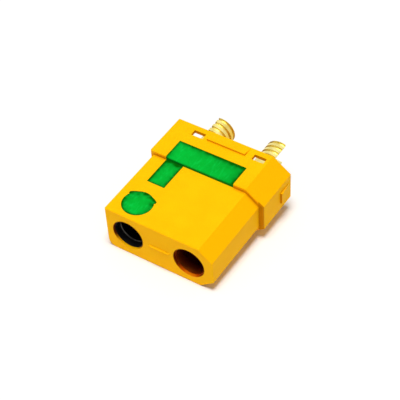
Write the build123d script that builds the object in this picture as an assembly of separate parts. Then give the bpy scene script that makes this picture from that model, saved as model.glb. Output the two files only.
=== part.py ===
from build123d import *
import os

# Anti-spark battery connector, socket half, for a two-pole high-current lead.
# Millimetres. Origin: middle of the mating face, halfway between the two socket axes.
# +X to the keyed end, +Y along the sockets to the solder cups, +Z to the potted side.

# Pins of the other half
pin_diameter = 4.5
pin_pitch = 10.9

# Turned contacts
contact_wall = 0.5
contact_fit = 0.04
plain_contact_depth = 0.5
spark_contact_depth = 6.2
socket_end_depth = 15.6
counterbore_width = 0.33
counterbore_depth = 3.8
lead_in = 0.25
barb_height = 0.12
barb_length = 0.9
barb_setback = 3.1
flange_overhang = 0.5
flange_thickness = 0.7
cup_diameter = 4.9
cup_wall = 0.5
cup_reach = 5.4
cup_cut_inset = 0.9
cup_floor = 0.6
cup_cut_offset = 0.57
plain_cup_turn = 9.5
spark_cup_turn = -2.5
cup_end_bevel = 0.1
rib_pitch = 1.05
rib_groove_depth = 0.3
rib_groove_width = 0.5
rib_groove_floor = 0.3
first_groove_gap = 1.6

# Moulded housing: nose, collar, rear recess
mouth_diameter = 5.3
mouth_lip = 0.35
roof_wall = 1.35
square_wall = 1.3
keyed_wall = 1.55
nose_length = 13.25
key_chamfer_width = 2.3
key_chamfer_height = 1.85
under_corner_radius = 1.3
edge_radius = 0.15
rim_chamfer = 0.12
collar_length = 8.25
collar_step = 0.74
collar_square_step = 0.55
collar_keyed_step = 0.8
collar_chamfer_width = 3.15
collar_chamfer_height = 2.3
recess_depth = 4.0
recess_wall = 0.6

# Latch windows and ramps for a slip-on cable cover
window_width = 2.1
window_length = 1.15
window_setback = 1.1
window_spread = 11.0
ramp_height = 0.34
ramp_width = 6.9
ramp_length = 2.15
end_ramp_width = 2.1
end_ramp_length = 3.3
ramp_tail_gap = 0.3

# Pre-charge ring and its insulators, in the bore on the -X side
front_insulator_bore = 5.0
front_insulator_length = 1.0
ring_length = 3.05
ring_edge = 0.12
rear_insulator_bore = 4.9

# Pre-charge resistor and its leads
resistor_diameter = 2.2
resistor_waist = 1.9
resistor_cap_length = 1.2
resistor_length = 6.0
lead_diameter = 0.5
lead_bend = 0.6
lead_stub = 0.7
resistor_gap = 0.1
resistor_wall_gap = 0.35
return_gap = 0.3
solder_base = 1.5
solder_top = 0.9
solder_rise = 0.1
solder_fit = 0.05
lead_tail = 0.45

# Potting recesses in the top face
channel_floor_wall = 0.26
potting_sink = 0.1
well_radius = 2.5
well_setback = 3.3
well_shift = 0.12
well_lip_width = 4.82
well_lip_rise = 0.8
well_lip_reach = 1.56
well_lip_band = 0.42
bridge_length = 2.1
strip_width = 3.15
bar_end_gap = 0.58
bar_width = 3.97
tunnel_fit = 0.05

# Dependent sizes and places
spark_x = -pin_pitch / 2
plain_x = pin_pitch / 2
pin_radius = pin_diameter / 2
contact_radius = pin_radius + contact_wall
bore_radius = contact_radius + contact_fit
mouth_radius = mouth_diameter / 2
nose_top = mouth_radius + roof_wall
nose_left = spark_x - mouth_radius - square_wall
nose_right = plain_x + mouth_radius + keyed_wall
collar_top = nose_top + collar_step
collar_left = nose_left - collar_square_step
collar_right = nose_right + collar_keyed_step
collar_rear = nose_length + collar_length
recess_front = collar_rear - recess_depth
cup_end = collar_rear + cup_reach
ring_start = mouth_lip + front_insulator_length
ring_end = ring_start + ring_length
channel_floor = bore_radius + channel_floor_wall
wire_radius = lead_diameter / 2
wire_level = channel_floor + resistor_gap + wire_radius
strip_left = spark_x - strip_width / 2
strip_start = well_setback + well_radius + bridge_length
bar_rear = nose_length + bar_width
lead_turn_x = resistor_length / 2 + lead_stub + lead_bend
bar_right = lead_turn_x + wire_radius + bar_end_gap
resistor_y = nose_length + resistor_wall_gap + resistor_diameter / 2
return_y = resistor_y + resistor_diameter / 2 + return_gap + wire_radius
well_x = spark_x - well_shift


def along(profile, start, end):
    """Extrude a profile drawn in X and Z from depth start to depth end."""
    return extrude(Plane.XZ.offset(-start) * profile, amount=end - start, dir=(0, 1, 0))


def tube(axis_x, start, end, outer, inner=0.0):
    """Round tube or bar about a socket axis."""
    profile = Circle(outer) - Circle(inner) if inner else Circle(outer)
    return along(Pos(axis_x, 0) * profile, start, end)


def block(x_range, y_range, z_range):
    """Box given by its limits along each axis."""
    size = [high - low for low, high in (x_range, y_range, z_range)]
    corner = Pos(x_range[0], y_range[0], z_range[0])
    return corner * Box(*size, align=Align.MIN)


def keyed_outline(left, right, top, chamfer_width, chamfer_height, under_radius):
    """Cross-section with a square -X end and a chamfered +X end, mirrored top to bottom."""
    shoulder = top - chamfer_height
    half = [(right, shoulder), (right - chamfer_width, top), (left, top)]
    outline = Polygon(*half, *[(x, -z) for x, z in reversed(half)], align=None)
    corners = outline.vertices().sort_by_distance((left, -top))
    outline = fillet(corners[0], under_radius)
    return fillet(outline.vertices().sort_by_distance((left, -top))[2:], edge_radius)


def nose_profile():
    return keyed_outline(nose_left, nose_right, nose_top, key_chamfer_width,
                         key_chamfer_height, under_corner_radius)


def collar_profile():
    return keyed_outline(collar_left, collar_right, collar_top, collar_chamfer_width,
                         collar_chamfer_height, under_corner_radius + collar_step)


def latch_ramps():
    """Wedges on all four collar sides, steep to the front and running out to the rear."""
    tail = collar_rear - ramp_tail_gap
    root = recess_wall / 2
    top_ramp = Polygon((tail - ramp_length + ramp_tail_gap, collar_top + ramp_height),
                       (tail, collar_top), (tail, collar_top - root),
                       (tail - ramp_length + ramp_tail_gap, collar_top - root), align=None)
    top_ramp = extrude(Plane.YZ * top_ramp, amount=ramp_width / 2, both=True)
    ramps = [top_ramp, mirror(top_ramp, Plane.XY)]
    for face, side in ((collar_left, -1), (collar_right, 1)):
        front = collar_rear - end_ramp_length
        wedge = Polygon((face + side * ramp_height, front), (face, tail),
                        (face - side * root, tail), (face - side * root, front), align=None)
        ramps.append(extrude(wedge, amount=end_ramp_width / 2, both=True))
    return ramps


def window_cuts():
    """See-through latch windows in the top and bottom walls of the rear recess."""
    middle = (collar_left + collar_right) / 2
    rear = collar_rear - window_setback
    cuts = []
    for side in (-1, 1):
        x = middle + side * window_spread / 2
        cuts.append(block((x - window_width / 2, x + window_width / 2),
                          (rear - window_length, rear), (-collar_top - 1, collar_top + 1)))
    return cuts


def well_outline():
    """Round solder well with a shallow arched lip on its rear side, seen from above."""
    tip_y = well_setback + well_lip_reach
    half = well_lip_width / 2
    arch = ThreePointArc((well_x - half, tip_y), (well_x, tip_y + well_lip_rise),
                         (well_x + half, tip_y))
    low = tip_y - well_lip_band
    sides = Polyline((well_x + half, tip_y), (well_x + half, low), (well_x - half, low),
                     (well_x - half, tip_y))
    return Pos(well_x, well_setback) * Circle(well_radius) + make_face(arch + sides)


def well_fill(top):
    return extrude(Pos(0, 0, channel_floor) * well_outline(), amount=top - channel_floor)


def channel_fill(strip_top, bar_top):
    """Strip on the nose, bar across the collar and the deeper pocket round the resistor."""
    strip = block((strip_left, strip_left + strip_width), (strip_start, nose_length),
                  (channel_floor, strip_top))
    bar = block((strip_left, bar_right), (nose_length, bar_rear),
                (channel_floor, bar_top))
    half = resistor_length / 2 + resistor_gap
    reach = resistor_diameter / 2 + resistor_gap
    pocket = block((-half, half), (resistor_y - reach, resistor_y + reach),
                   (wire_level - reach, bar_top))
    return strip + bar + pocket


def solder_hole(y):
    """Opening in a recess floor, above the metal that the lead is soldered to."""
    hole = Cylinder(solder_base / 2 + solder_fit, channel_floor + solder_fit,
                    align=(Align.CENTER, Align.CENTER, Align.MIN))
    return Pos(spark_x, y, 0) * hole


def make_housing():
    nose = along(nose_profile(), 0, nose_length)
    nose = chamfer(nose.faces().sort_by(Axis.Y)[0].edges(), rim_chamfer)
    collar = along(collar_profile(), nose_length, collar_rear)
    rims = collar.faces().sort_by(Axis.Y)[0].edges() + collar.faces().sort_by(Axis.Y)[-1].edges()
    collar = chamfer(rims, rim_chamfer)
    body = nose + collar + latch_ramps()
    recess = offset(collar_profile(), amount=-recess_wall)
    body -= along(recess, recess_front, collar_rear + 1)
    body -= window_cuts()
    for axis_x, step in ((spark_x, mouth_lip), (plain_x, plain_contact_depth - contact_fit)):
        body -= tube(axis_x, -1, step + 1, mouth_radius)
        body -= tube(axis_x, step, recess_front + 1, bore_radius)
        barb_rear = recess_front - barb_setback
        body -= tube(axis_x, barb_rear - barb_length - contact_fit, barb_rear + contact_fit,
                     bore_radius + barb_height)
    body -= well_fill(nose_top + 1)
    body -= channel_fill(nose_top + 1, collar_top + 1)
    body -= [solder_hole(well_setback), solder_hole(return_y)]
    body -= Pos(spark_x, strip_start, wire_level) * tunnel()
    return body


def tunnel():
    """Round duct through the bridge between the well and the strip."""
    length = strip_start - well_setback
    return Rot(90, 0, 0) * Cylinder(wire_radius + tunnel_fit, length,
                                    align=(Align.CENTER, Align.CENTER, Align.MIN))


def make_contact(axis_x, front, mouth, side, cup_turn):
    """Turned socket with a barb, a flange and a ribbed solder cup cut open on one side."""
    barb_rear = recess_front - barb_setback
    flange_rear = recess_front + flange_thickness
    barb_radius = contact_radius + barb_height
    cup_radius = cup_diameter / 2
    ribs = []
    groove = collar_rear + first_groove_gap
    while groove + rib_groove_width < cup_end - cup_end_bevel:
        middle = groove + rib_groove_width / 2
        ribs += [(cup_radius, groove),
                 (cup_radius - rib_groove_depth, middle - rib_groove_floor / 2),
                 (cup_radius - rib_groove_depth, middle + rib_groove_floor / 2),
                 (cup_radius, groove + rib_groove_width)]
        groove += rib_pitch
    profile = Polygon(
        (0, socket_end_depth), (pin_radius, socket_end_depth), *mouth, (contact_radius, front),
        (contact_radius, barb_rear - barb_length), (barb_radius, barb_rear),
        (contact_radius, barb_rear), (contact_radius, recess_front),
        (contact_radius + flange_overhang, recess_front),
        (contact_radius + flange_overhang, flange_rear), (cup_radius, flange_rear), *ribs,
        (cup_radius, cup_end - cup_end_bevel), (cup_radius - cup_end_bevel, cup_end),
        (0, cup_end), align=None)
    contact = revolve(profile, Axis.Y)
    contact -= tube(0, flange_rear + cup_floor, cup_end + 1, cup_radius - cup_wall)
    cut_start = collar_rear - cup_cut_inset
    opening = block((cup_cut_offset, cup_diameter), (cut_start, cup_end + 1),
                    (-cup_diameter, cup_diameter))
    contact -= Rot(0, 90 - side * (90 - cup_turn), 0) * opening
    return Pos(axis_x, 0, 0) * contact


def make_front_insulator():
    return tube(spark_x, mouth_lip, ring_start, contact_radius, front_insulator_bore / 2)


def make_ring():
    ring = tube(spark_x, ring_start, ring_end, contact_radius, pin_radius)
    inner_edge = ring.faces().sort_by(Axis.Y)[0].edges().sort_by(SortBy.RADIUS)[0]
    return chamfer(inner_edge, ring_edge)


def make_rear_insulator():
    return tube(spark_x, ring_end, spark_contact_depth, contact_radius,
                rear_insulator_bore / 2)


def make_resistor():
    """Lacquered body with a fatter cap at each end, lying across the two contacts."""
    half = resistor_length / 2
    cap = half - resistor_cap_length
    outline = Polygon((-half, 0), (-half, resistor_diameter / 2), (-cap, resistor_diameter / 2),
                      (-cap + (resistor_diameter - resistor_waist) / 2, resistor_waist / 2),
                      (cap - (resistor_diameter - resistor_waist) / 2, resistor_waist / 2),
                      (cap, resistor_diameter / 2), (half, resistor_diameter / 2), (half, 0),
                      align=None)
    return Pos(0, resistor_y, wire_level) * revolve(outline, Axis.X)


def wire(points):
    """Round wire along straight runs with mitred bends, at the level of the leads."""
    corners = [Vector(x, y, wire_level) for x, y in points]
    route = [corners[0]]
    for before, corner, after in zip(corners, corners[1:], corners[2:]):
        route += [corner + (end - corner).normalized() * lead_bend for end in (before, after)]
    path = Polyline(*route, corners[-1])
    section = Plane(origin=path @ 0, z_dir=path % 0) * Circle(wire_radius)
    return sweep(section, path=path, transition=Transition.RIGHT)


def make_front_lead():
    return wire([(-resistor_length / 2, resistor_y), (spark_x, resistor_y),
                 (spark_x, well_setback - lead_tail)])


def make_rear_lead():
    return wire([(resistor_length / 2, resistor_y), (lead_turn_x, resistor_y),
                 (lead_turn_x, return_y), (spark_x - lead_tail, return_y)])


def make_solder(y, lead, terminal):
    """Solder fillet that joins a lead to the metal below it."""
    seat = pin_radius + contact_wall / 2
    cone = Cone(solder_base / 2, solder_top / 2, wire_level + wire_radius + solder_rise - seat,
                align=(Align.CENTER, Align.CENTER, Align.MIN))
    return Pos(spark_x, y, seat) * cone - terminal - lead


def build():
    parts = {}
    parts["housing"] = make_housing()
    counterbore_end = plain_contact_depth + counterbore_depth
    counterbore_radius = pin_radius + counterbore_width
    plain_mouth = [(pin_radius, counterbore_end), (counterbore_radius, counterbore_end),
                   (counterbore_radius, plain_contact_depth)]
    spark_mouth = [(pin_radius, spark_contact_depth + lead_in),
                   (pin_radius + lead_in, spark_contact_depth)]
    parts["plain_contact"] = make_contact(plain_x, plain_contact_depth, plain_mouth, 1,
                                          plain_cup_turn)
    parts["spark_contact"] = make_contact(spark_x, spark_contact_depth, spark_mouth, -1,
                                          spark_cup_turn)
    parts["front_insulator"] = make_front_insulator()
    parts["precharge_ring"] = make_ring()
    parts["rear_insulator"] = make_rear_insulator()
    parts["resistor"] = make_resistor()
    parts["front_lead"] = make_front_lead()
    parts["rear_lead"] = make_rear_lead()
    parts["front_solder"] = make_solder(well_setback, parts["front_lead"],
                                        parts["precharge_ring"])
    parts["rear_solder"] = make_solder(return_y, parts["rear_lead"], parts["spark_contact"])
    buried = [parts[name] for name in ("resistor", "front_lead", "rear_lead", "front_solder",
                                       "rear_solder")]
    well = well_fill(nose_top - potting_sink)
    channel = channel_fill(nose_top - potting_sink, collar_top - potting_sink)
    for piece in buried:
        well -= piece
        channel -= piece
    parts["well_potting"] = well
    parts["channel_potting"] = channel
    return parts


os.makedirs("parts", exist_ok=True)
for name, solid in build().items():
    export_step(solid, "parts/" + name + ".step")
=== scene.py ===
import math
import random

import bpy
from mathutils import Matrix, Vector
from mathutils.geometry import delaunay_2d_cdt
from mathutils.noise import noise


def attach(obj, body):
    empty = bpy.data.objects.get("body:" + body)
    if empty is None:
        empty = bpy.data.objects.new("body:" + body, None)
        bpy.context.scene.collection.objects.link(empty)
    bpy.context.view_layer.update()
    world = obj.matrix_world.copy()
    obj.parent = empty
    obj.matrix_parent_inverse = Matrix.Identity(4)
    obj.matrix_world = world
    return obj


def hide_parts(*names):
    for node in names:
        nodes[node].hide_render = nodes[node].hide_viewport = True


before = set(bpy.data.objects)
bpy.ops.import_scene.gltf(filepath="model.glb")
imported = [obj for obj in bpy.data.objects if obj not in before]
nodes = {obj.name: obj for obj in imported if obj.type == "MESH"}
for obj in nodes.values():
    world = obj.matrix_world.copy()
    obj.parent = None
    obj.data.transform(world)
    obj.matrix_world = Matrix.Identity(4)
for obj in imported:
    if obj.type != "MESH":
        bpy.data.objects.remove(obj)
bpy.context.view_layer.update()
mm = 0.001  # sizes below are in millimetres, and the scene is in metres
hair = 1e-6  # room for rounding
print("frame loaded:", len(nodes), "nodes")


def linearColour(code):  # sRGB hex to the linear values that the shaders take
    parts = [int(code[i:i + 2], 16) / 255 for i in (0, 2, 4)]
    return [c / 12.92 if c <= 0.04045 else ((c + 0.055) / 1.055) ** 2.4 for c in parts] + [1.0]


def perSize(millimetres):  # texture scale for a pattern whose features are this large
    return 1000.0 / millimetres


def addNode(tree, kind, inputs=None, stops=(), **settings):  # stops: a ramp's places and hex colours
    node = tree.nodes.new(kind)
    for name, value in settings.items():
        setattr(node, name, value)
    for name, value in (inputs or {}).items():
        if isinstance(value, bpy.types.NodeSocket):
            tree.links.new(value, node.inputs[name])
        else:
            node.inputs[name].default_value = value
    for i, (place, code) in enumerate(stops):
        stop = node.color_ramp.elements[i] if i < 2 else node.color_ramp.elements.new(place)
        stop.position = place
        stop.color = linearColour(code)
    return node


def newMaterial(name):
    material = bpy.data.materials.new(name)
    material.use_nodes = True
    material.node_tree.nodes.clear()
    return material, material.node_tree


bore = {
    "offset": 5.45,  # both socket axes from the middle
    "mouthRadius": 2.65, "mouthEnd": 0.8,  # the housing's own mouth
    "radius": 2.66, "end": 16.5,  # everything inside the contacts lies within this
}


def boreReach(tree, axes):  # distance from the axis of the nearer socket
    side = addNode(tree, "ShaderNodeMath", {0: axes.outputs["X"]}, operation="ABSOLUTE")
    side = addNode(tree, "ShaderNodeMath", {0: side.outputs[0], 1: bore["offset"] * mm},
                   operation="SUBTRACT")
    across = addNode(tree, "ShaderNodeCombineXYZ", {"X": side.outputs[0], "Y": axes.outputs["Z"]})
    reach = addNode(tree, "ShaderNodeVectorMath", {0: across.outputs["Vector"]}, operation="LENGTH")
    return reach.outputs["Value"]


nylonYellow = {
    "colour": "FFBB05", "deep": "FBB604", "mottleSize": 3.0,
    "roughness": (0.45, 0.55), "ior": 1.53, "specular": 0.02,
    "scatter": 0.12, "scatterReach": (1.0, 0.45, 0.05),  # light bleeds through, red the furthest
    "grainSize": 0.16, "grainDepth": 0.012,  # the mould's grain is finer: this is as fine as shows
    "waveSize": 4.5, "waveDepth": 0.06,  # sink marks
    # painted shade: the keyed end's upper slopes get a deeper yellow, found by their normals
    "chamfer": "F8B102", "chamferLean": (0.25, 0.45), "chamferRise": (0.3, 0.5),  # by the normal
    "crevice": "9C4C00", "creviceWidth": 0.8, "shut": 0.3, "open": 0.9,  # by ambient occlusion
    "stepDepth": 0.95, "stepEnd": 14.0, "rampDepth": 0.5, "rampStart": 17.0,
    "frontLimit": -0.7, "keySide": (9.4, 9.6), "keyBehind": 13.0, "keyDepth": 0.62,
    "mouth": "6C2300", "glow": "E06000", "glowSpan": (-2.6, -1.5),  # lips, by their height
    "lipWidth": (0.01, 0.16), "lipSpan": (-2.3, -1.0), "lipShift": 1.35,
}


def chamferShare(tree, spec, facing):  # 1 on the keyed end's upper slopes, which get painted shade: a deeper yellow
    lean, rise = [addNode(tree, "ShaderNodeMapRange", {
        "Value": facing.outputs[axis], "From Min": span[0], "From Max": span[1]})
        for axis, span in (("X", spec["chamferLean"]), ("Z", spec["chamferRise"]))]
    share = addNode(tree, "ShaderNodeMath", {0: lean.outputs["Result"], 1: rise.outputs["Result"]},
                    operation="MULTIPLY")
    return share.outputs[0]


def creviceShare(tree, spec, axes, facing):  # shade in hollows and on the small front faces by the key
    hollow = addNode(tree, "ShaderNodeAmbientOcclusion", {"Distance": spec["creviceWidth"] * mm},
                     samples=8, only_local=True)
    deepest = addNode(tree, "ShaderNodeMapRange", {  # full at the step, lighter at the latch ramps
        "Value": axes.outputs["Y"], "From Min": spec["stepEnd"] * mm, "From Max": spec["rampStart"] * mm,
        "To Min": spec["stepDepth"], "To Max": spec["rampDepth"]})
    shade = addNode(tree, "ShaderNodeMapRange", {
        "Value": hollow.outputs["AO"], "From Min": spec["shut"], "From Max": spec["open"],
        "To Min": deepest.outputs["Result"], "To Max": 0.0})
    fore = addNode(tree, "ShaderNodeMath", {0: facing.outputs["Y"], 1: spec["frontLimit"]},
                   operation="LESS_THAN")
    behind = addNode(tree, "ShaderNodeMath", {0: axes.outputs["Y"], 1: spec["keyBehind"] * mm},
                     operation="GREATER_THAN")
    keyEnd = addNode(tree, "ShaderNodeMapRange", {
        "Value": axes.outputs["X"], "From Min": spec["keySide"][0] * mm,
        "From Max": spec["keySide"][1] * mm, "To Max": spec["keyDepth"]})
    face = addNode(tree, "ShaderNodeMath", {0: fore.outputs[0], 1: behind.outputs[0]},
                   operation="MULTIPLY")
    face = addNode(tree, "ShaderNodeMath", {0: face.outputs[0], 1: keyEnd.outputs["Result"]},
                   operation="MULTIPLY")
    return addNode(tree, "ShaderNodeMath", {0: shade.outputs["Result"], 1: face.outputs[0]},
                   operation="MAXIMUM").outputs[0]


def lipShare(tree, spec, axes):  # shade on the wall and edge of both mouths, fading out at the bottom
    edge = addNode(tree, "ShaderNodeMapRange", {
        "Value": boreReach(tree, axes), "To Min": 1.0, "To Max": 0.0,
        "From Min": (bore["mouthRadius"] + spec["lipWidth"][0]) * mm,
        "From Max": (bore["mouthRadius"] + spec["lipWidth"][1]) * mm})
    ahead = addNode(tree, "ShaderNodeMath", {0: axes.outputs["Y"], 1: bore["mouthEnd"] * mm},
                    operation="LESS_THAN")
    lip = addNode(tree, "ShaderNodeMath", {0: edge.outputs["Result"], 1: ahead.outputs[0]},
                  operation="MULTIPLY")
    keyed = addNode(tree, "ShaderNodeMath", {0: axes.outputs["X"], 1: 0.0}, operation="GREATER_THAN")
    level = addNode(tree, "ShaderNodeMath", {  # the plain socket's lip fades lower down
        0: keyed.outputs[0], 1: spec["lipShift"] * mm, 2: axes.outputs["Z"]}, operation="MULTIPLY_ADD")
    upper = addNode(tree, "ShaderNodeMapRange", {
        "Value": level.outputs[0], "From Min": spec["lipSpan"][0] * mm,
        "From Max": spec["lipSpan"][1] * mm})
    return addNode(tree, "ShaderNodeMath", {0: lip.outputs[0], 1: upper.outputs["Result"]},
                   operation="MULTIPLY").outputs[0]


def makeMouldedNylon(spec):  # injection-moulded nylon: even, faintly cloudy colour and a satin skin, with painted shade on the keyed slopes, in hollows and at the mouths
    material, tree = newMaterial("mouldedNylonYellow")
    source = addNode(tree, "ShaderNodeTexCoord")
    coords = source.outputs["Object"]
    axes = addNode(tree, "ShaderNodeSeparateXYZ", {"Vector": coords})
    facing = addNode(tree, "ShaderNodeSeparateXYZ", {"Vector": source.outputs["Normal"]})
    cloud = addNode(tree, "ShaderNodeTexNoise", {
        "Vector": coords, "Scale": perSize(spec["mottleSize"]), "Detail": 3.0, "Roughness": 0.5})
    shade = addNode(tree, "ShaderNodeValToRGB", {"Fac": cloud.outputs["Fac"]},
                    stops=[(0.35, spec["deep"]), (0.65, spec["colour"])])
    # painted shade on the keyed end's slopes
    body = addNode(tree, "ShaderNodeMix", {
        0: chamferShare(tree, spec, facing), 6: shade.outputs["Color"],
        7: linearColour(spec["chamfer"])}, data_type="RGBA")
    tone = addNode(tree, "ShaderNodeMix", {
        0: creviceShare(tree, spec, axes, facing), 6: body.outputs[2],
        7: linearColour(spec["crevice"])}, data_type="RGBA")
    height = addNode(tree, "ShaderNodeMapRange", {
        "Value": axes.outputs["Z"], "From Min": spec["glowSpan"][0] * mm,
        "From Max": spec["glowSpan"][1] * mm})
    lip = addNode(tree, "ShaderNodeValToRGB", {"Fac": height.outputs["Result"]},
                  stops=[(0.0, spec["glow"]), (1.0, spec["mouth"])])
    skin = addNode(tree, "ShaderNodeMix", {
        0: lipShare(tree, spec, axes), 6: tone.outputs[2], 7: lip.outputs["Color"]}, data_type="RGBA")
    gloss = addNode(tree, "ShaderNodeMapRange", {
        "Value": cloud.outputs["Fac"], "To Min": spec["roughness"][0], "To Max": spec["roughness"][1]})
    grain = addNode(tree, "ShaderNodeTexNoise", {
        "Vector": coords, "Scale": perSize(spec["grainSize"]), "Detail": 4.0, "Roughness": 0.6})
    wave = addNode(tree, "ShaderNodeTexNoise", {
        "Vector": coords, "Scale": perSize(spec["waveSize"]), "Detail": 1.0})
    fine = addNode(tree, "ShaderNodeBump", {
        "Height": grain.outputs["Fac"], "Strength": 0.25, "Distance": spec["grainDepth"] * mm})
    soft = addNode(tree, "ShaderNodeBump", {
        "Height": wave.outputs["Fac"], "Strength": 0.5, "Distance": spec["waveDepth"] * mm,
        "Normal": fine.outputs["Normal"]})
    shader = addNode(tree, "ShaderNodeBsdfPrincipled", {
        "Base Color": skin.outputs[2], "Roughness": gloss.outputs["Result"], "IOR": spec["ior"],
        "Specular IOR Level": spec["specular"], "Subsurface Weight": spec["scatter"],
        "Subsurface Radius": [reach * mm for reach in spec["scatterReach"]], "Subsurface Scale": 1.0,
        "Normal": soft.outputs["Normal"]})
    addNode(tree, "ShaderNodeOutputMaterial", {"Surface": shader.outputs["BSDF"]})
    return material


nylonBlack = {"colour": "0B0A0B", "deep": "070607", "roughness": 0.5, "ior": 1.53, "specular": 0.2,
              "grainSize": 0.2, "grainDepth": 0.01}  # grain drawn as coarse as shows


def makeBlackNylon(spec):  # moulded black nylon: near black, dull in the bore
    material, tree = newMaterial("mouldedNylonBlack")
    coords = addNode(tree, "ShaderNodeTexCoord").outputs["Object"]
    grain = addNode(tree, "ShaderNodeTexNoise", {
        "Vector": coords, "Scale": perSize(spec["grainSize"]), "Detail": 3.0})
    shade = addNode(tree, "ShaderNodeValToRGB", {"Fac": grain.outputs["Fac"]},
                    stops=[(0.3, spec["deep"]), (0.7, spec["colour"])])
    bump = addNode(tree, "ShaderNodeBump", {
        "Height": grain.outputs["Fac"], "Strength": 0.2, "Distance": spec["grainDepth"] * mm})
    shader = addNode(tree, "ShaderNodeBsdfPrincipled", {
        "Base Color": shade.outputs["Color"], "Roughness": spec["roughness"], "IOR": spec["ior"],
        "Specular IOR Level": spec["specular"], "Normal": bump.outputs["Normal"]})
    addNode(tree, "ShaderNodeOutputMaterial", {"Surface": shader.outputs["BSDF"]})
    return material


# roughness runs from the dull smears to the bright metal; pitches are drawn as coarse as shows
goldPlate = {"name": "goldPlatedBrass", "colour": "EEDF90", "worn": "D6C268", "roughness": (0.46, 0.32),
             "turnPitch": 0.09, "turnDepth": 0.006, "smearSize": 1.4,
             # painted light at the sockets' mouths and painted shade deeper in
             "boreShading": {"mouth": "F07818", "deep": "821608", "start": 0.5, "full": 2.2}}
goldSideShade = {**goldPlate, "name": "goldPlatedBrassSideShaded",
            # painted shade low down on the cup's side towards the other socket
            "sideShading": {"colour": "E8C350", "axis": -5.45, "start": 2.2, "full": 1.0}}
nickelPlate = {"name": "darkNickelledBrass", "colour": "3F3C38", "worn": "262422",
               "roughness": (0.34, 0.2), "turnPitch": 0.12, "turnDepth": 0.006, "smearSize": 1.0}
tinnedCopper = {"name": "tinnedCopper", "colour": "C9C8C4", "worn": "A9A39A",
                "roughness": (0.43, 0.29), "turnPitch": 0.2, "turnDepth": 0.006, "smearSize": 0.7}
tinSolder = {"name": "reflowedSolder", "colour": "BDBDBC", "worn": "9C9C9C",
             "roughness": (0.48, 0.34), "turnPitch": 0.4, "turnDepth": 0.006, "smearSize": 0.5}


def sideShade(tree, sideShading, tone, axes):  # painted shade: a darker gold low down on the side towards the other socket
    low = addNode(tree, "ShaderNodeMapRange", {
        "Value": axes.outputs["Z"], "From Min": sideShading["start"] * mm, "From Max": sideShading["full"] * mm})
    side = addNode(tree, "ShaderNodeMath", {0: axes.outputs["X"], 1: sideShading["axis"] * mm},
                   operation="GREATER_THAN")
    share = addNode(tree, "ShaderNodeMath", {0: low.outputs["Result"], 1: side.outputs[0]},
                    operation="MULTIPLY")
    return addNode(tree, "ShaderNodeMix", {
        0: share.outputs[0], 6: tone, 7: linearColour(sideShading["colour"])}, data_type="RGBA").outputs[2]


def boreShade(tree, boreShading, tone, axes):  # painted light near each socket's mouth, turning to painted shade deeper in
    near = addNode(tree, "ShaderNodeMath", {0: boreReach(tree, axes), 1: bore["radius"] * mm},
                   operation="LESS_THAN")
    ahead = addNode(tree, "ShaderNodeMath", {0: axes.outputs["Y"], 1: bore["end"] * mm},
                    operation="LESS_THAN")
    inside = addNode(tree, "ShaderNodeMath", {0: near.outputs[0], 1: ahead.outputs[0]},
                     operation="MULTIPLY")
    depth = addNode(tree, "ShaderNodeMapRange", {
        "Value": axes.outputs["Y"], "From Min": boreShading["start"] * mm, "From Max": boreShading["full"] * mm})
    stain = addNode(tree, "ShaderNodeValToRGB", {"Fac": depth.outputs["Result"]},
                    stops=[(0.0, boreShading["mouth"]), (1.0, boreShading["deep"])])
    return addNode(tree, "ShaderNodeMix", {
        0: inside.outputs[0], 6: tone, 7: stain.outputs["Color"]}, data_type="RGBA").outputs[2]


def makeTurnedMetal(spec):  # turned or drawn, then plated: bright, with fine rings along the part
    material, tree = newMaterial(spec["name"])
    coords = addNode(tree, "ShaderNodeTexCoord").outputs["Object"]
    axes = addNode(tree, "ShaderNodeSeparateXYZ", {"Vector": coords})
    smear = addNode(tree, "ShaderNodeTexNoise", {
        "Vector": coords, "Scale": perSize(spec["smearSize"]), "Detail": 4.0, "Roughness": 0.55})
    tone = addNode(tree, "ShaderNodeValToRGB", {"Fac": smear.outputs["Fac"]},
                   stops=[(0.35, spec["worn"]), (0.6, spec["colour"])]).outputs["Color"]
    # painted shade low down on one side
    if "sideShading" in spec:
        tone = sideShade(tree, spec["sideShading"], tone, axes)
    # painted light at the mouths and painted shade deeper inside the sockets
    if "boreShading" in spec:
        tone = boreShade(tree, spec["boreShading"], tone, axes)
    rings = addNode(tree, "ShaderNodeTexWave", {  # about one band to each pitch
        "Vector": coords, "Scale": perSize(spec["turnPitch"]) / math.pi, "Distortion": 0.4,
        "Detail": 1.0}, wave_type="BANDS", bands_direction="Y")
    bump = addNode(tree, "ShaderNodeBump", {
        "Height": rings.outputs["Fac"], "Strength": 0.2, "Distance": spec["turnDepth"] * mm})
    gloss = addNode(tree, "ShaderNodeMapRange", {
        "Value": smear.outputs["Fac"], "To Min": spec["roughness"][0], "To Max": spec["roughness"][1]})
    shader = addNode(tree, "ShaderNodeBsdfPrincipled", {
        "Base Color": tone, "Metallic": 1.0, "Roughness": gloss.outputs["Result"],
        "Normal": bump.outputs["Normal"]})
    addNode(tree, "ShaderNodeOutputMaterial", {"Surface": shader.outputs["BSDF"]})
    return material


resistorCoat = {"colour": "6E9DBB", "band": "7A4A22", "roughness": 0.35, "ior": 1.5, "bandPitch": 1.3}


def makeDippedLacquer(spec):  # lacquer dipped over ceramic: smooth and glossy, with painted rings
    material, tree = newMaterial("resistorLacquer")
    coords = addNode(tree, "ShaderNodeTexCoord").outputs["Object"]
    rings = addNode(tree, "ShaderNodeTexWave", {
        "Vector": coords, "Scale": perSize(spec["bandPitch"]) / math.pi},
        wave_type="BANDS", bands_direction="X", wave_profile="SIN")
    shade = addNode(tree, "ShaderNodeValToRGB", {"Fac": rings.outputs["Fac"]},
                    stops=[(0.0, spec["colour"]), (0.75, spec["colour"]), (0.8, spec["band"])])
    shader = addNode(tree, "ShaderNodeBsdfPrincipled", {
        "Base Color": shade.outputs["Color"], "Roughness": spec["roughness"], "IOR": spec["ior"]})
    addNode(tree, "ShaderNodeOutputMaterial", {"Surface": shader.outputs["BSDF"]})
    return material


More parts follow.
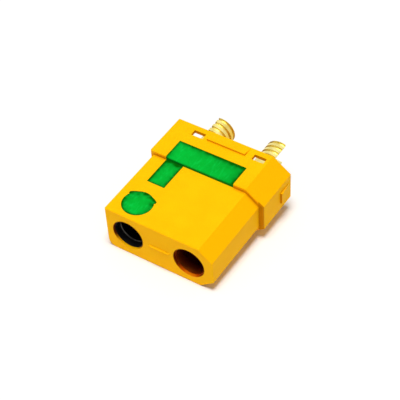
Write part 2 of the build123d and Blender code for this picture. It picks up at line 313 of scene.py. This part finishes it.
epoxyGreen = {
    "colour": "03A62C", "bright": "03B636", "rimShade": "005A00", "roughness": 0.4, "ior": 1.55,
    "specular": 0.02, "swirlSize": 2.2, "skinSize": 1.1, "skinDepth": 0.04,
    "speckSize": 0.35, "speckDepth": 0.012,
    "scuff": "10CC50", "scuffWidth": 0.3, "scuffStretch": 0.2, "scuffTurn": 0.35,
    "scuffSpan": (0.54, 0.7), "scuffDepth": 0.4,
}


def makePouredEpoxy(spec):  # epoxy poured by hand: swirled and scuffed, with painted shade along its rims and walls
    material, tree = newMaterial("pouredEpoxyGreen")
    coords = addNode(tree, "ShaderNodeTexCoord").outputs["Object"]
    swirl = addNode(tree, "ShaderNodeTexNoise", {
        "Vector": coords, "Scale": perSize(spec["swirlSize"]), "Detail": 6.0, "Roughness": 0.7,
        "Distortion": 0.4})
    shade = addNode(tree, "ShaderNodeValToRGB", {"Fac": swirl.outputs["Fac"]},
                    stops=[(0.35, spec["colour"]), (0.65, spec["bright"])])
    drawn = addNode(tree, "ShaderNodeMapping", {
        "Vector": coords, "Rotation": (0.0, 0.0, spec["scuffTurn"]),
        "Scale": (1.0, spec["scuffStretch"], 1.0)})
    wipe = addNode(tree, "ShaderNodeTexNoise", {
        "Vector": drawn.outputs["Vector"], "Scale": perSize(spec["scuffWidth"]), "Detail": 2.0})
    scuff = addNode(tree, "ShaderNodeMapRange", {
        "Value": wipe.outputs["Fac"], "From Min": spec["scuffSpan"][0], "From Max": spec["scuffSpan"][1],
        "To Max": spec["scuffDepth"]})
    wiped = addNode(tree, "ShaderNodeMix", {
        0: scuff.outputs["Result"], 6: shade.outputs["Color"], 7: linearColour(spec["scuff"])},
        data_type="RGBA")
    # painted shade towards the rims and on the walls, taken from a point attribute
    rimShade = addNode(tree, "ShaderNodeAttribute", attribute_name="rimShade")
    mixed = addNode(tree, "ShaderNodeMix", {
        0: rimShade.outputs["Fac"], 6: wiped.outputs[2], 7: linearColour(spec["rimShade"])}, data_type="RGBA")
    skin = addNode(tree, "ShaderNodeTexNoise", {
        "Vector": coords, "Scale": perSize(spec["skinSize"]), "Detail": 2.0})
    speck = addNode(tree, "ShaderNodeTexNoise", {
        "Vector": coords, "Scale": perSize(spec["speckSize"]), "Detail": 3.0})
    broad = addNode(tree, "ShaderNodeBump", {
        "Height": skin.outputs["Fac"], "Strength": 0.5, "Distance": spec["skinDepth"] * mm})
    fine = addNode(tree, "ShaderNodeBump", {
        "Height": speck.outputs["Fac"], "Strength": 0.3, "Distance": spec["speckDepth"] * mm,
        "Normal": broad.outputs["Normal"]})
    shader = addNode(tree, "ShaderNodeBsdfPrincipled", {
        "Base Color": mixed.outputs[2], "Roughness": spec["roughness"], "IOR": spec["ior"],
        "Specular IOR Level": spec["specular"], "Normal": fine.outputs["Normal"]})
    addNode(tree, "ShaderNodeOutputMaterial", {"Surface": shader.outputs["BSDF"]})
    return material


yellow = makeMouldedNylon(nylonYellow)
black = makeBlackNylon(nylonBlack)
gold = makeTurnedMetal(goldPlate)
goldSideShaded = makeTurnedMetal(goldSideShade)
nickel = makeTurnedMetal(nickelPlate)
tinned = makeTurnedMetal(tinnedCopper)
solder = makeTurnedMetal(tinSolder)
lacquer = makeDippedLacquer(resistorCoat)
epoxy = makePouredEpoxy(epoxyGreen)

finishes = {
    "housing": yellow, "plain_contact": gold, "spark_contact": goldSideShaded, "precharge_ring": nickel,
    "front_insulator": black, "rear_insulator": black, "resistor": lacquer, "front_lead": tinned,
    "rear_lead": tinned, "front_solder": solder, "rear_solder": solder, "well_potting": epoxy,
    "channel_potting": epoxy,
}
for name, finish in finishes.items():
    nodes[name].data.materials.clear()
    nodes[name].data.materials.append(finish)
print("materials set on", len(finishes), "nodes")


def addPiece(name, verts, faces, material, smoothSides):  # faces with so many sides are smooth
    mesh = bpy.data.meshes.new(name)
    mesh.from_pydata([(x * mm, y * mm, z * mm) for x, y, z in verts], [], faces)
    mesh.materials.append(material)
    for polygon in mesh.polygons:
        polygon.use_smooth = len(polygon.vertices) == smoothSides
    piece = bpy.data.objects.new(name, mesh)
    bpy.context.scene.collection.objects.link(piece)
    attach(piece, "root")
    return piece


well = {"x": -5.57, "y": 3.3, "radius": 2.5, "turnSteps": 48, "lipHalf": 2.41, "lipBase": 1.14,
        "lipSide": 1.56, "lipTop": 2.36, "archSteps": 24, "top": 3.9, "floor": 3.05, "mottle": 1.9,
        "seed": 3}


def wellOutline(spec):  # a circle with a shallow arched lip across its rear side
    start = math.asin(spec["lipBase"] / spec["radius"])
    half, side, top = spec["lipHalf"], spec["lipSide"], spec["lipTop"]
    bend = (half ** 2 + (top - side) ** 2) / (2 * (top - side))
    swing = math.asin(half / bend)
    points = [(half, spec["lipBase"])]
    for i in range(spec["archSteps"] + 1):
        turn = swing * (1 - 2 * i / spec["archSteps"])
        x = bend * math.sin(turn)
        ring = math.sqrt(max(0.0, spec["radius"] ** 2 - x ** 2))  # the circle passes behind the arch
        points.append((x, max(ring, top - bend + bend * math.cos(turn))))
    points.append((-half, spec["lipBase"]))
    sweep = math.pi + 2 * start
    for i in range(spec["turnSteps"] + 1):
        turn = math.pi - start + sweep * i / spec["turnSteps"]
        points.append((spec["radius"] * math.cos(turn), spec["radius"] * math.sin(turn)))
    return [Vector((spec["x"] + x, spec["y"] + y)) for x, y in points]


strip = {"left": -7.025, "right": -3.875, "front": 7.9, "rear": 13.25, "top": 3.9, "floor": 3.05,
         "mottle": 1.0, "seed": 5}
bar = {"left": -7.025, "right": 5.13, "front": 13.25, "rear": 17.22, "top": 4.64, "floor": 3.05,
       "mottle": 0.8, "startShare": 0.5, "endDepth": 0.28, "seed": 8}


def boxOutline(spec):
    return [Vector((x, y)) for x, y in ((spec["left"], spec["front"]), (spec["right"], spec["front"]),
                                        (spec["right"], spec["rear"]), (spec["left"], spec["rear"]))]


resin = {
    "step": 0.17, "jitter": 0.2, "weld": 1e-5,  # spacing of the skin's points
    "climb": 0.09, "wetWidth": 0.13,  # how far it creeps up the walls
    "wave": 0.035, "waveSize": 2.3, "waveStart": 0.4,  # how unevenly it settled
    "slump": 0.2, "slumpRows": (0.025, 0.07, 0.13), "rowGap": 0.06, "cornerGap": 0.05,
    "rimWidth": 0.5, "rimDepth": 0.85, "lean": 0.25, "mottleSize": 0.6, "mottleLayer": 20.0,
    "edgeWidth": 0.28, "edgeDepth": 0.6, "wallDepth": 0.6,  # painted shade, from 0 to 1
}


def walkOutline(corners, step):
    points = []
    for a, b in zip(corners, corners[1:] + corners[:1]):
        count = max(1, round((b - a).length / step))
        points += [a.lerp(b, i / count) for i in range(count)]
    return points


def edgeDistance(point, edges):
    best = math.inf
    for a, b in edges:
        run = b - a
        t = max(0.0, min(1.0, (point - a).dot(run) / run.length_squared))
        best = min(best, (a + run * t - point).length)
    return best


def insideLoop(p, loop):
    inside = False
    for a, b in zip(loop, loop[1:] + loop[:1]):
        if (a.y > p.y) != (b.y > p.y) and p.x < a.x + (b.x - a.x) * (p.y - a.y) / (b.y - a.y):
            inside = not inside
    return inside


def spreadPoints(loop, edges, front, seed, openFront):  # an uneven grid of points inside the outline
    step, dice = resin["step"], random.Random(seed)
    low = [min(p[k] for p in loop) for k in (0, 1)]
    high = [max(p[k] for p in loop) for k in (0, 1)]
    points = []
    for i in range(int((high[0] - low[0]) / step) + 1):
        for j in range(int((high[1] - low[1]) / step) + 1):
            p = Vector((low[0] + step * (i + dice.uniform(-resin["jitter"], resin["jitter"])),
                        low[1] + step * (j + dice.uniform(-resin["jitter"], resin["jitter"]))))
            if not insideLoop(p, loop) or edgeDistance(p, edges) < step / 2:
                continue
            if not openFront or p.y >= front + resin["slump"] + resin["rowGap"]:
                points.append(p)
    if openFront:  # close rows where the free edge rounds over
        for back in (*resin["slumpRows"], resin["slump"]):
            points += [Vector((p.x, front + back)) for p in loop if p.y < front + hair
                       and low[0] + resin["cornerGap"] < p.x < high[0] - resin["cornerGap"]]
    return points


def skinRise(p, gap, front, seed, openFront):  # how far the skin stands above its level
    swell = noise(Vector((p.x, p.y, seed)) / resin["waveSize"]) * resin["wave"]
    rise = swell * min(1, gap / resin["waveStart"]) + resin["climb"] * math.exp(-gap / resin["wetWidth"])
    if openFront and p.y < front + resin["slump"]:
        near = resin["slump"] - (p.y - front)
        rise -= resin["slump"] - math.sqrt(resin["slump"] ** 2 - near ** 2)
    return rise


def skinShade(p, gap, loop, wetted, spec):  # 0 to 1: how far the skin's green goes to the painted shade colour
    ahead = Vector((p.x, p.y + resin["lean"]))  # the rear wall shades the pour more
    lean = edgeDistance(ahead, wetted) if insideLoop(ahead, loop) else 0.0
    cloud = noise(Vector((p.x, p.y, resin["mottleLayer"] + spec["seed"])) / resin["mottleSize"])
    tone = resin["rimDepth"] * math.exp(-lean / resin["rimWidth"]) * (1 + spec["mottle"] * cloud)
    if "endDepth" in spec:  # the painted shade on the bar grows towards its keyed end, where it is darker still
        along = (p.x - spec["left"]) / (spec["right"] - spec["left"])
        share = spec["startShare"] + (1 - spec["startShare"]) * along
        tone = tone * share + spec["endDepth"] * along ** 3
    # a thin painted dark outline where the skin meets the walls
    tone += resin["edgeDepth"] * math.exp(-(gap / resin["edgeWidth"]) ** 2)
    return max(0.0, min(1.0, tone))


def pourResin(corners, spec, openFront=False):
    loop = walkOutline(corners, resin["step"])
    edges = list(zip(loop, loop[1:] + loop[:1]))
    front = min(p.y for p in loop)
    wetted = [(a, b) for a, b in edges if not openFront or max(a.y, b.y) > front + hair]
    inner = spreadPoints(loop, edges, front, spec["seed"], openFront)
    count = len(loop)
    rims = [(i, (i + 1) % count) for i in range(count)]
    keepInside = 1  # the mode that leaves out what lies past the rims
    spots, _, faces, _, _, _ = delaunay_2d_cdt(loop + inner, rims, [list(range(count))], keepInside,
                                               resin["weld"])
    verts, shade = [], []
    for p in spots:
        gap = edgeDistance(p, wetted)
        verts.append((p.x, p.y, spec["top"] + skinRise(p, gap, front, spec["seed"], openFront)))
        shade.append(skinShade(p, gap, loop, wetted, spec))
    base = len(verts)
    verts += [(p.x, p.y, verts[i][2]) for i, p in enumerate(loop)]
    verts += [(p.x, p.y, spec["floor"]) for p in loop]
    # painted shade on the pour's walls
    shade += [resin["wallDepth"]] * (2 * count)
    walls = [(base + i, base + count + i, base + count + (i + 1) % count, base + (i + 1) % count)
             for i in range(count)]
    bottom = [tuple(base + count + i for i in reversed(range(count)))]
    return verts, [tuple(f) for f in faces] + walls + bottom, shade


def addPour(name, pours):
    verts, faces, shade = [], [], []
    for v, f, s in pours:
        faces += [tuple(i + len(verts) for i in face) for face in f]
        verts += v
        shade += s
    piece = addPiece(name, verts, faces, epoxy, 3)
    piece.data.attributes.new("rimShade", "FLOAT", "POINT").data.foreach_set("value", shade)
    return piece


wellPour = addPour("wellPour", [pourResin(wellOutline(well), well)])
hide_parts("well_potting")
channelPour = addPour("channelPour", [pourResin(boxOutline(strip), strip),
                                      pourResin(boxOutline(bar), bar, openFront=True)])
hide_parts("channel_potting")
print("resin poured:", len(wellPour.data.vertices) + len(channelPour.data.vertices), "points")


ridge = {"left": -1.85, "right": 2.25, "level": 0.0, "half": 0.1, "height": 0.25, "sunk": 0.02,
         "taper": 6, "wander": 0.02, "wanderRate": 0.9, "wanderRow": (2.0, 7.0), "rows": 25, "arc": 6}


def addRidge(spec):  # low flash line where the two halves of the mould met
    verts, faces = [], []
    for i in range(spec["rows"]):
        t = i / (spec["rows"] - 1)
        x = spec["left"] + (spec["right"] - spec["left"]) * t
        swell = math.sin(math.pi * min(1, spec["taper"] * min(t, 1 - t)) / 2)
        stray = noise(Vector((x * spec["wanderRate"], *spec["wanderRow"])))
        level = spec["level"] + spec["wander"] * stray
        for k in range(spec["arc"] + 1):
            a = math.pi * k / spec["arc"]
            verts.append((x, spec["sunk"] - spec["height"] * swell * math.sin(a),
                          level + spec["half"] * math.cos(a)))
    width = spec["arc"] + 1
    for i in range(spec["rows"] - 1):
        for k in range(spec["arc"]):
            a = i * width + k
            faces.append((a, a + 1, a + width + 1, a + width))
    addPiece("partingRidge", verts, faces, yellow, 4)


addRidge(ridge)
print("parting ridge made")


def seenStraight(tree):  # 1 for what the camera sees, also in or through something
    path = addNode(tree, "ShaderNodeLightPath")
    seen = addNode(tree, "ShaderNodeMath", {
        0: path.outputs["Is Camera Ray"], 1: path.outputs["Is Glossy Ray"]}, operation="MAXIMUM")
    return addNode(tree, "ShaderNodeMath", {
        0: seen.outputs[0], 1: path.outputs["Is Transmission Ray"]}, operation="MAXIMUM").outputs[0]


table = {
    "size": 4000.0, "noseTop": 4.0, "footY": 19.35, "footZ": -5.08,  # it tips to touch nose and collar
    "albedo": 0.98, "shown": 0.85, "shownFrom": 50.0, "shownFar": 6.0,
}


def makeFloor(spec):  # matt white paper that shows white and keeps the shadow
    material, tree = newMaterial("paleTable")
    coords = addNode(tree, "ShaderNodeTexCoord").outputs["Object"]
    reach = addNode(tree, "ShaderNodeVectorMath", {0: coords}, operation="LENGTH")
    bright = addNode(tree, "ShaderNodeMapRange", {  # stays white away from the lamp
        "Value": reach.outputs["Value"], "From Min": spec["shownFrom"] * mm,
        "From Max": spec["size"] / 2 * mm, "To Min": spec["shown"], "To Max": spec["shownFar"]})
    tone = addNode(tree, "ShaderNodeMapRange", {
        "Value": seenStraight(tree), "To Min": spec["albedo"], "To Max": bright.outputs["Result"]})
    paper = addNode(tree, "ShaderNodeBsdfDiffuse", {"Color": tone.outputs["Result"]})
    addNode(tree, "ShaderNodeOutputMaterial", {"Surface": paper.outputs["BSDF"]})
    half = spec["size"] / 2 * mm
    slope = (spec["footZ"] + spec["noseTop"]) / spec["footY"]
    corners = [(x, y, -spec["noseTop"] * mm + y * slope) for x, y in
               ((-half, -half), (half, -half), (half, half), (-half, half))]
    mesh = bpy.data.meshes.new("floor")
    mesh.from_pydata(corners, [], [(0, 1, 2, 3)])
    mesh.materials.append(material)
    floor = bpy.data.objects.new("floor", mesh)
    bpy.context.scene.collection.objects.link(floor)


studio = {"colour": "FFFFFF", "strength": 0.25, "shown": 1.0}


def makeWorld(spec):  # even soft light from all round; white where it is seen
    world = bpy.data.worlds.new("studio")
    bpy.context.scene.world = world
    world.use_nodes = True
    tree = world.node_tree
    tree.nodes.clear()
    dim, white = [addNode(tree, "ShaderNodeBackground", {
        "Color": linearColour(spec["colour"]), "Strength": spec[key]}) for key in ("strength", "shown")]
    either = addNode(tree, "ShaderNodeMixShader", {
        0: seenStraight(tree), 1: dim.outputs[0], 2: white.outputs[0]})
    addNode(tree, "ShaderNodeOutputWorld", {"Surface": either.outputs[0]})


keyLamp = {"place": (40.0, -60.0, 700.0), "target": (0.0, 11.0, 0.0), "size": 300.0, "power": 5.1}


def makeLamp(name, spec):  # a large round softbox overhead
    data = bpy.data.lights.new(name, "AREA")
    data.shape = "DISK"
    data.size = spec["size"] * mm
    data.energy = spec["power"]
    lamp = bpy.data.objects.new(name, data)
    lamp.location = Vector(spec["place"]) * mm
    aim = Vector(spec["target"]) - Vector(spec["place"])
    lamp.rotation_euler = aim.to_track_quat("-Z", "Y").to_euler()
    bpy.context.scene.collection.objects.link(lamp)


photoView = {"azimuth": 35.374, "elevation": 46.135, "roll": -3.788, "distance": 199.9,
             "target": (0.195, 11.351, 0.432), "lens": 117.2, "sensor": 36.0, "near": 10.0}


def makeCamera(spec):
    a, e, r = [math.radians(spec[k]) for k in ("azimuth", "elevation", "roll")]
    back = Vector((math.sin(a) * math.cos(e), -math.cos(a) * math.cos(e), math.sin(e)))
    level = Vector((math.cos(a), math.sin(a), 0))
    right = math.cos(r) * level + math.sin(r) * back.cross(level)
    turn = Matrix((right, back.cross(right), back)).transposed().to_4x4()
    data = bpy.data.cameras.new("camera")
    data.lens = spec["lens"]
    data.sensor_width = spec["sensor"]
    data.clip_start = spec["near"] * mm
    camera = bpy.data.objects.new("camera", data)
    place = (Vector(spec["target"]) + spec["distance"] * back) * mm
    camera.matrix_world = Matrix.Translation(place) @ turn
    bpy.context.scene.collection.objects.link(camera)
    bpy.context.scene.camera = camera


makeFloor(table)
makeWorld(studio)
makeLamp("keyLamp", keyLamp)
makeCamera(photoView)
bpy.context.scene.view_settings.view_transform = "Standard"
print("floor, light and camera made")
